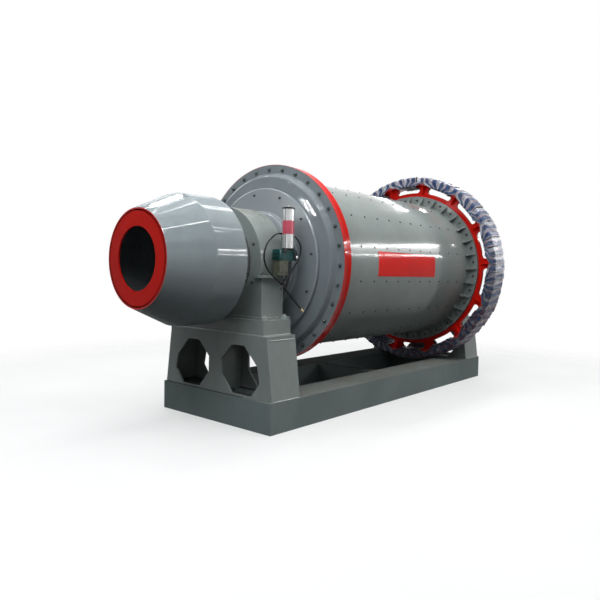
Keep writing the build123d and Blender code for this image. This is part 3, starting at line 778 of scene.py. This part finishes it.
# ---- manhole, on the far side
cover_r = SHELL_R + 0.022
cover_end, cover_edge = 0.180, 0.120
cover_places = [(cover_end * i, side * cover_edge) for i in (-0.65, -0.22, 0.22, 0.65)
                for side in (-1, 1)]
cover_places += [(side * cover_end, cover_edge * i) for i in (-0.5, 0.0, 0.5) for side in (-1, 1)]
cover_spots = []
for along, high in cover_places:
    turn = asin(high / cover_r)
    cover_spots.append((
        (MANHOLE_X + along, (cover_r - 0.001) * cos(turn), AXIS_Z + (cover_r - 0.001) * sin(turn)),
        (0.0, cos(turn), sin(turn))))
bolts("manhole_bolts", cover_spots, "mill_drum", "head_bolt_enamel", MANHOLE_BOLT, 29)
foot = [(0.0, -0.006), (0.006, -0.006), (0.006, 0.034), (0.0, 0.036)]
grip = [(0.0, -0.051), (0.0045, -0.0505), (0.006, -0.049), (0.006, 0.049), (0.0045, 0.0505),
        (0.0, 0.051)]
handles = []
for x in (MANHOLE_X - 0.085, MANHOLE_X + 0.085):
    handles += [(foot, (x, cover_r - 0.001, AXIS_Z + z), FAR, 12) for z in (-0.045, 0.045)]
    handles.append((grip, (x, cover_r + 0.030, AXIS_Z), UP, 12))
small_part("manhole_handles", "bearing_enamel", "grey_paint", handles, body="mill_drum")

# ---- grease pump
small_part("reservoir_vent", "vent_plastic", "bright_steel", [
    ([(0.0, 2.1295), (0.020, 2.1295), (0.020, 2.134), (0.011, 2.137), (0.0095, 2.150),
      (0.006, 2.154), (0.0, 2.154)], (*PUMP_AXIS, 0.0), UP, 24)])
small_part("reservoir_red_band", "red_band", "red_paint", [
    ([(0.0568, 1.872), (0.0582, 1.8725), (0.0582, 2.0025), (0.0568, 2.003)],
     (*PUMP_AXIS, 0.0), UP, 48)])
small_part("pump_end_cover", "teal_enamel", "green_paint", blocks=[
    ((-1.700, -0.668, 1.621), (-1.665, -0.572, 1.7205), 0.004),
    ((-1.706, -0.650, 1.640), (-1.698, -0.590, 1.705), 0.003)])
small_part("pump_clamp", "black_plastic", "green_paint", [
    ([(0.0, 0.0), (0.060, 0.0), (0.062, 0.004), (0.062, 0.014), (0.058, 0.018), (0.0, 0.018)],
     (*PUMP_AXIS, 1.7185), UP, 36),
    ([(0.0, 0.0), (0.012, 0.0), (0.012, 0.020), (0.008, 0.024), (0.008, 0.040), (0.0, 0.041)],
     (-1.480, -0.650, 1.7195), UP, 16),
], [
    ((-1.4445, -0.655, 1.632), (-1.4325, -0.588, 1.708), 0.004),
    ((-1.492, -0.674, 1.628), (-1.446, -0.660, 1.700), 0.004),
    ((-1.640, -0.672, 1.690), (-1.600, -0.655, 1.728), 0.003),
])
pump_spots = [((-1.7055, y, z), LEFT) for y in (-0.640, -0.600) for z in (1.655, 1.690)]
pump_spots += [((x, -0.6635, z), NEAR) for x in (-1.628, -1.500) for z in (1.632, 1.702)]
pump_spots += [((x, -0.6615, 1.500), NEAR) for x in (-1.665, -1.595)]
bolts("pump_bolts", pump_spots, "mill_base", "dark_steel", PUMP_BOLT, 27)

# where the hoses leave the pump, and which way
EXITS = (("grease_hose_collar", LONG_HOSE[0], UP), ("grease_hose_short_collar", SHORT_HOSE[0], FAR))
nut = [(0.0125, 0.0), (0.0200, 0.001), (0.0215, 0.003), (0.0215, 0.019), (0.0190, 0.021),
       (0.0125, 0.022)]
small_part("pump_outlets", "bright_steel", "bright_steel", [
    (nut, Vector(place) - Vector(way) * 0.020, way, 6) for _, place, way in EXITS
] + [
    ([(0.0, 0.0), (0.013, 0.0), (0.013, 0.010), (0.016, 0.011), (0.016, 0.020), (0.010, 0.022),
      (0.010, 0.030), (0.0, 0.031)], (-1.4330, -0.610, 1.655), RIGHT, 6),
    ([(0.0, 0.0), (0.011, 0.0), (0.011, 0.012), (0.007, 0.014), (0.007, 0.022), (0.0, 0.022)],
     (-1.4330, -0.640, 1.688), RIGHT, 6),
    ([(0.0, 0.0), (0.015, 0.0), (0.016, 0.002), (0.016, 0.010), (0.009, 0.012), (0.009, 0.018),
      (0.0, 0.018)], (-1.462, -0.673, 1.650), NEAR, 6),
], smooth=25)
crimped = [(0.0132 - 0.0004 * (k % 2) - 0.0001 * k, 0.0015 * k) for k in range(18)]
collars = {name: small_part(name, "dark_steel", "hose_rubber", [
    ([(0.0, -0.002), *crimped, (0.0, 0.0270)], place, way, 20)]) for name, place, way in EXITS}


def hose_fitting(name, route, node, finish):
    """A crimped sleeve, a hexagon and a threaded end, in the fitting's own place."""
    start = Vector(route[-1])
    way = start - Vector(route[-2])
    sleeve = [(0.0108 - 0.0007 * (k % 2), 0.0012 * k) for k in range(15)]
    hexagon = [(0.0, 0.017), (0.0104, 0.0172), (0.0110, 0.018), (0.0110, 0.0275),
               (0.0100, 0.0285), (0.0, 0.0285)]
    thread = [(0.0079 - 0.0007 * (k % 2), 0.0285 + 0.0010 * k) for k in range(14)]
    made = small_part(name, finish, "brass", [
        ([(0.0, 0.0), *sleeve, (0.0, 0.0172)], start, way, 20), (hexagon, start, way, 6),
        ([(0.0, 0.028), *thread, (0.0055, 0.0450), (0.0, 0.0455)], start, way, 20)], smooth=25)
    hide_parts(node)
    return made


long_end = hose_fitting("grease_hose_end", LONG_HOSE, "grease_hose_fitting", "plated_brass")
short_end = hose_fitting("grease_hose_short_end", SHORT_HOSE, "grease_hose_short_fitting",
                         "dark_steel")
tie = Shape()
tie_place, tie_pitch = Vector((-1.650, -0.676, 1.398)), Vector((0.0052, -0.001, -0.006))
for k in range(4):
    tie.torus(tie_place + tie_pitch * (k - 1.5) * 1.2, (0.65, -0.11, -0.75),
              0.0215 - 0.001 * (k % 2), 0.0042, 28, 8)
tie.piece("hose_tie", "black_plastic", "hose_rubber", smooth=60)

# the lifting eye on the feed bearing's cap, with its plug
eye = Shape()
eye.torus((-1.792, -0.566, EAR_Z + 0.007), (0.10, -0.18, 1.0), 0.030, 0.0065)
eye.turned([(0.0, 0.0), (0.014, 0.0), (0.016, 0.003), (0.016, 0.010), (0.010, 0.016), (0.0, 0.016)],
           (-1.835, -0.566, EAR_Z), UP, 12)
eye.piece("cap_lifting_eye", "dark_steel", "bright_steel")


# ---- bare red plate
def curved_plate(low_z, high_z, low_x, long):
    """The thin red plate on the shell's near side, left bare."""
    across, along = 16, 24
    low, high = [degrees(asin((z - AXIS_Z) / SHELL_R)) for z in (low_z, high_z)]
    plate = Shape()
    rows = []
    for j in range(across + 1):
        angle = low + (high - low) * j / across
        places = [round_axis(low_x + long * i / along, SHELL_R + 0.0005, angle)
                  for i in range(along + 1)]
        rows.append([plate.build.verts.new(place) for place in places])
    for first, last in zip(rows, rows[1:]):
        for i in range(along):
            plate.build.faces.new((first[i], first[i + 1], last[i + 1], last[i]))
    thick = bmesh.ops.extrude_face_region(plate.build, geom=plate.build.faces[:])
    for v in [g for g in thick["geom"] if isinstance(g, bmesh.types.BMVert)]:
        v.co += Vector((0.0, v.co.y, v.co.z - AXIS_Z)).normalized() * 0.0015
    plate.piece("shell_red_plate", "plate_enamel", "red_paint", "mill_drum", smooth=30)


curved_plate(1.478, 1.750, -0.40, 1.28)


# ---- wound cloth on the gear rim
WINDOWS = 14
FIRST_WINDOW = 145.24               # the angle of one window's middle
TOOTH_TURN = 360.0 / 130
FIRST_TOOTH = -177.23
WRAP_X = (1.804, 2.116)             # the strips' runs on the rim's two sides
WRAP_R = (1.2035, 1.3235)
CORNER = 0.012
TURNS, AROUND, ACROSS = 5, 64, 12   # a strip's turns, and the points round one and across it


def wrap_loop():
    """Even points round the rim's section, from the middle of its inner side, each with
    its outward direction: (x, radius, x way, radius way)."""
    (x0, x1), (r0, r1) = WRAP_X, WRAP_R
    middle = ((x0 + x1) / 2, r0)
    places = [middle]
    for x, r, way in ((x0, r0, pi), (x0, r1, pi / 2), (x1, r1, 0.0), (x1, r0, -pi / 2)):
        cx = x + CORNER if x == x0 else x - CORNER
        cr = r + CORNER if r == r0 else r - CORNER
        for k in range(5):
            a = way + pi / 2 - k * pi / 8
            places.append((cx + CORNER * cos(a), cr + CORNER * sin(a)))
    places.append(middle)
    runs = [(Vector(last) - Vector(first)).length for first, last in zip(places, places[1:])]
    loop = []
    for k in range(AROUND):
        left = sum(runs) * k / AROUND
        for number, run in enumerate(runs):
            if left <= run:
                break
            left -= run
        first, last = Vector(places[number]), Vector(places[number + 1])
        way = (last - first).normalized()
        place = first + way * left
        loop.append((place.x, place.y, -way.y, way.x))
    return loop


def padding(angle, x):
    """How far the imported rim's uneven surface stands out under the cloth."""
    tooth = 0.5 + 0.5 * cos(radians(angle - FIRST_TOOTH) * 360 / TOOTH_TURN)
    a = radians(angle) * 1.3
    lumps = noise.noise(Vector((cos(a) * 9, sin(a) * 9, x * 7)))
    return 0.0025 * tooth + 0.004 * lumps


LOOP = wrap_loop()


def wrap_strip(number, finish):
    """One strip of cloth, wound through its window and round the rim."""
    rng = random.Random(40 + number)
    middle = FIRST_WINDOW - 360.0 / WINDOWS * number
    shake = [rng.uniform(-1, 1) for _ in range(4 * TURNS + 8)]
    lean = rng.uniform(-0.5, 0.5)
    count = TURNS * AROUND - AROUND // 4
    verts, uvs = [], []
    for i in range(count + 1):
        t = i / AROUND
        x, r, way_x, way_r = LOOP[i % AROUND]
        # 0 inside the window, where the turns crowd, and 1 on the rim, where they spread
        spread = soft_step(r, WRAP_R[0] + 0.004, WRAP_R[0] + 0.075)
        k = int(4 * t)
        wobble = shake[k] + (shake[k + 1] - shake[k]) * (4 * t - k)
        step = 2.70 + 2.443 * spread
        wide = (4.40 + 1.90 * spread) * (1.0 + 0.18 * wobble)
        centre = (t - TURNS / 2 + 0.12) * step + 0.24 * step * wobble * spread
        gather = 1.0 - 0.65 * spread
        tail = soft_step(i, count - 9, count)
        for j in range(ACROSS + 1):
            v = j / ACROSS
            angle = middle + centre + (v - 0.5) * wide * (1.0 - 0.25 * tail)
            fold = cos(tau * (2.5 * v + 0.35 * noise.noise(Vector((t * 5, v * 2, number)))))
            crease = noise.noise(Vector((t * 16, v * 3.5, number * 7.3)))
            rumple = noise.noise(Vector((t * 40, v * 6, number * 3.1)))
            out = 0.0015 + 0.0105 * (1.0 - v) ** 1.5 + 0.0022 * gather * fold
            out += 0.0040 * crease + 0.0026 * rumple + padding(angle, x) * soft_step(r, 1.22, 1.30)
            out += tail * (0.010 + 0.020 * abs(v - 0.4 + lean))
            past = max(abs(angle - middle) - 7.2, 0.0)
            # the window's rounded ends push the cloth inwards
            inward = min(0.009 * past * past, 0.018) * (1.0 - spread)
            verts.append(round_axis(x + way_x * out, r + way_r * out - inward, angle))
            uvs.append((v, t * 0.893 + 0.37 * number))
    mesh = bpy.data.meshes.new("strip")
    row = ACROSS + 1
    faces = [(i * row + j, i * row + j + 1, (i + 1) * row + j + 1, (i + 1) * row + j)
             for i in range(count) for j in range(ACROSS)]
    mesh.from_pydata(verts, [], faces)
    layer = mesh.uv_layers.new(name="cloth")
    for loop_corner in mesh.loops:
        layer.data[loop_corner.index].uv = uvs[loop_corner.vertex_index]
    mesh.update()
    strip = add_mesh(f"gear_wrap_strip_{number + 1:02d}", mesh, finish, "mill_drum",
                     smooth=60)
    solid = strip.modifiers.new("thickness", "SOLIDIFY")
    solid.thickness = 0.0012
    solid.offset = 0.0
    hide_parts("gear_wrap")


def striped_cloth(name, checked):
    """Woven plastic tape cloth, striped along the strip in blue, white and thin red."""
    f = Finish(name)
    across, along, _ = f.parts(f.node("ShaderNodeTexCoord", out=2))
    wander = f.cloud(26.0)
    edge = across + (wander - 0.5) * 0.07 + (f.cloud(9.0, 2.0) - 0.5) * 0.16
    white = f.mix(f.between(f.cloud(40.0, 4.0), 0.3, 0.7), (0.34, 0.36, 0.42), (0.66, 0.68, 0.72))
    blue = f.mix(f.between(f.cloud(22.0, 4.0), 0.3, 0.7),
                 (0.012, 0.032, 0.095), (0.035, 0.090, 0.200))
    tone = f.mix(edge.within(0.10, 0.52), white, blue)
    thin = edge.within(0.545, 0.585) + edge.within(0.045, 0.075)
    tone = f.mix(thin, tone, (0.40, 0.12, 0.16))
    thread = edge.within(0.74, 0.80)
    tone = f.mix(thread * f.between(f.cloud(33.0, 2.0), 0.4, 0.6), tone, (0.16, 0.20, 0.30))
    if checked:
        wave = (along * (1 / 0.105)).alone("FRACT")
        tone = f.mix(wave.within(0.1, 0.48) * 0.72, tone, (0.20, 0.045, 0.04))
        tone = f.mix(wave.within(0.62, 0.70) * 0.8, tone, (0.04, 0.08, 0.22))
    else:
        wave = (along * (1 / 0.31)).alone("FRACT")
        tone = f.mix(wave.within(0.50, 0.56) * 0.5, tone, (0.10, 0.16, 0.34))
    soil = f.between(f.cloud(11.0, 5.0, 0.65), 0.45, 0.75, 0.0, 0.55)
    tone = f.mix(soil, tone, (0.22, 0.21, 0.20))
    x, _, z = f.parts()
    # painted shade: the cloth on the rim's lower front face is darkened as if in shadow
    painted_shade_low_front = f.between(x, 1.80, 1.86, 1.0, 0.0) * f.between(z, 1.2, 2.2, 0.62, 0.0)
    tone = f.mix(painted_shade_low_front, tone, (0.012, 0.018, 0.035))
    weave = (across * (tau * 44)).alone("SINE") * (along * (tau * 360)).alone("SINE")
    creased = f.bump(f.cloud(75.0, 4.0, 0.6), 0.0032, 0.9, f.bump(weave, 0.00022, 0.5))
    f.done(tone, f.between(wander, 0.3, 0.7, 0.28, 0.46), creased, 0.22)


striped_cloth("cloth_striped", False)
striped_cloth("cloth_checked", True)
for number in range(WINDOWS):
    # the checked cloth is on the rim's lower strips and on two of the far ones
    wrap_strip(number, "cloth_checked" if number in (7, 8, 9, 12, 13) else "cloth_striped")


# ---- room and lights
def looked_at(tree):
    """1 for what the eye sees directly, in a gloss or through glass, and 0 for other light."""
    outputs = tree.node("ShaderNodeLightPath").socket.node.outputs
    seen = Link(tree, outputs["Is Camera Ray"])
    for title in ("Is Glossy Ray", "Is Transmission Ray"):
        seen = seen.maths("MAXIMUM", seen, Link(tree, outputs[title]))
    return seen


def studio():
    """The pale floor, the room's soft light and the lamps, most of which only the gloss shows."""
    world = bpy.data.worlds.new("room")
    bpy.context.scene.world = world
    world.use_nodes = True
    room = Tree(world.node_tree)
    room.tree.nodes.clear()
    shown = looked_at(room)
    height = room.parts(room.node("ShaderNodeTexCoord"))[2]
    sky = room.between(height, -0.1, 0.5, 0.05, 0.30)
    soft = room.node("ShaderNodeBackground", {0: (0.90, 0.95, 1.0, 1.0), 1: sky})
    white = room.node("ShaderNodeBackground", {0: (1.0, 1.0, 1.0, 1.0), 1: 1.0})
    mixed = room.node("ShaderNodeMixShader", {0: shown, 1: soft, 2: white})
    room.node("ShaderNodeOutputWorld", {0: mixed})

    def lamp(name, place, target, width, height, radiance, colour=(1.0, 1.0, 1.0), glint=False):
        data = bpy.data.lights.new(name, "AREA")
        data.shape = "RECTANGLE"
        data.size, data.size_y = width, height
        data.energy = radiance * pi * width * height
        data.color = colour
        made = linked(name, data)
        made.location = place
        made.visible_camera = False
        way = Vector(target) - Vector(place)
        made.rotation_euler = way.to_track_quat("-Z", "Y").to_euler()
        made.visible_diffuse = not glint
        return made

    def window(name, first, last, height, radiance, target):
        """A narrow lamp between two points, seen only in the gloss of the paint."""
        first, last, target = Vector(first), Vector(last), Vector(target)
        made = lamp(name, (first + last) / 2, target, (last - first).length, height, radiance,
                    glint=True)
        along = (last - first).normalized()
        back = made.location - target
        back = (back - along * back.dot(along)).normalized()
        made.rotation_euler = Matrix((along, back.cross(along), back)).transposed().to_euler()

    lamp("roof", (0.4, -0.8, 7.0), (0.4, -0.6, 0.0), 8.0, 3.2, 0.9)
    for number, y in enumerate((0.90, 1.38)):
        lamp(f"roof_tube_{number}", (-0.4, y, 7.0), (-0.4, y - 0.3, 0.0), 8.0, 0.12, 30.0)
    for number, y in enumerate((-3.5, -4.5)):
        lamp(f"near_tube_{number}", (-0.4, y, 7.2), (-0.2, 0.0, 1.6), 8.0, 0.13, 38.0)
    lamp("far_side", (0.5, 6.5, 5.6), (0.2, 0.0, 1.6), 7.0, 2.0, 3.0)
    lamp("feed_end", (-6.5, -2.0, 6.5), (-1.2, 0.0, 1.6), 5.0, 3.0, 5.0, (0.90, 0.97, 1.0))
    near = (0.0, -2.0, 1.6)
    lamp("end_soft", (8.3, -8.0, 4.8), near, 9.0, 1.2, 6.0)
    # long lamps past the discharge end: their images are the bright lines on the drum
    lamp("end_tubes_high", (8.3, -7.4, 5.05), near, 10.0, 0.20, 85.0, glint=True)
    lamp("end_haze", (8.3, -8.1, 4.55), near, 8.0, 0.9, 2.5, glint=True)
    lamp("end_tubes_low", (8.3, -9.0, 3.70), near, 12.0, 0.12, 105.0, glint=True)
    # narrow lamps whose images are the white streaks on the drum, head and feeder
    window("far_window", (8.35, 4.2, 4.95), (8.9, 1.2, 6.6), 0.55, 45.0, (1.0, -0.4, 2.4))
    for number, streak in enumerate((
            ((-8.30, 4.73, 4.13), (-8.56, 4.37, 3.62), 0.022, 260.0),
            ((-8.39, 4.56, 4.05), (-8.67, 4.17, 3.47), 0.024, 270.0),
            ((-8.40, 4.82, 3.52), (-8.56, 4.64, 3.06), 0.018, 200.0),
            ((-7.60, 5.36, 5.40), (-7.94, 5.26, 4.58), 0.030, 170.0)), 1):
        window(f"head_window_{number}", *streak, (-1.25, -0.65, 2.15))
    window("bend_window", (-3.8, -3.3, 7.4), (-2.1, -3.3, 7.4), 0.8, 75.0, (-2.6, -0.45, 1.9))
    window("flat_window_1", (-1.5, 2.8, 7.4), (-0.9, 2.65, 7.4), 0.22, 50.0, (-2.6, -0.2, 2.1))
    window("flat_window_2", (-0.5, 4.8, 7.4), (0.1, 4.5, 7.4), 0.16, 120.0, (-2.6, -0.1, 2.1))

    mesh = bpy.data.meshes.new("floor")
    reach = 40.0
    corners = [(-reach, -reach, 0), (reach, -reach, 0), (reach, reach, 0), (-reach, reach, 0)]
    mesh.from_pydata(corners, [], [(0, 1, 2, 3)])
    floor = linked("floor", mesh)
    f = Finish("pale_floor")
    patch = f.cloud(0.8, 5.0, 0.6)
    x, y, _ = f.parts()
    away = ((x - 0.3) * (x - 0.3) + y * y) ** 0.5
    pale = f.mix(f.between(patch, 0.3, 0.7), (0.90, 0.90, 0.89), (0.86, 0.86, 0.85))
    paint = f.node("ShaderNodeBsdfPrincipled", {
        "Base Color": f.mix(looked_at(f), (0.06, 0.06, 0.06), pale),
        "Roughness": f.between(patch, 0.3, 0.7, 0.6, 0.8), "Specular IOR Level": 0.2})
    glow = f.node("ShaderNodeEmission", {0: (1.0, 1.0, 1.0, 1.0), 1: 1.0})
    seen = f.node("ShaderNodeLightPath")
    lift = looked_at(f) * 0.12 + seen * 0.33
    paint = f.node("ShaderNodeMixShader", {0: lift, 1: paint, 2: glow})
    open_air = f.node("ShaderNodeBsdfTransparent")
    faded = f.node("ShaderNodeMixShader", {0: f.between(away, 3.5, 7.0), 1: paint, 2: open_air})
    f.node("ShaderNodeOutputMaterial", {0: faded})
    mesh.materials.append(finishes["pale_floor"])


studio()
bpy.context.scene.view_settings.view_transform = "Standard"
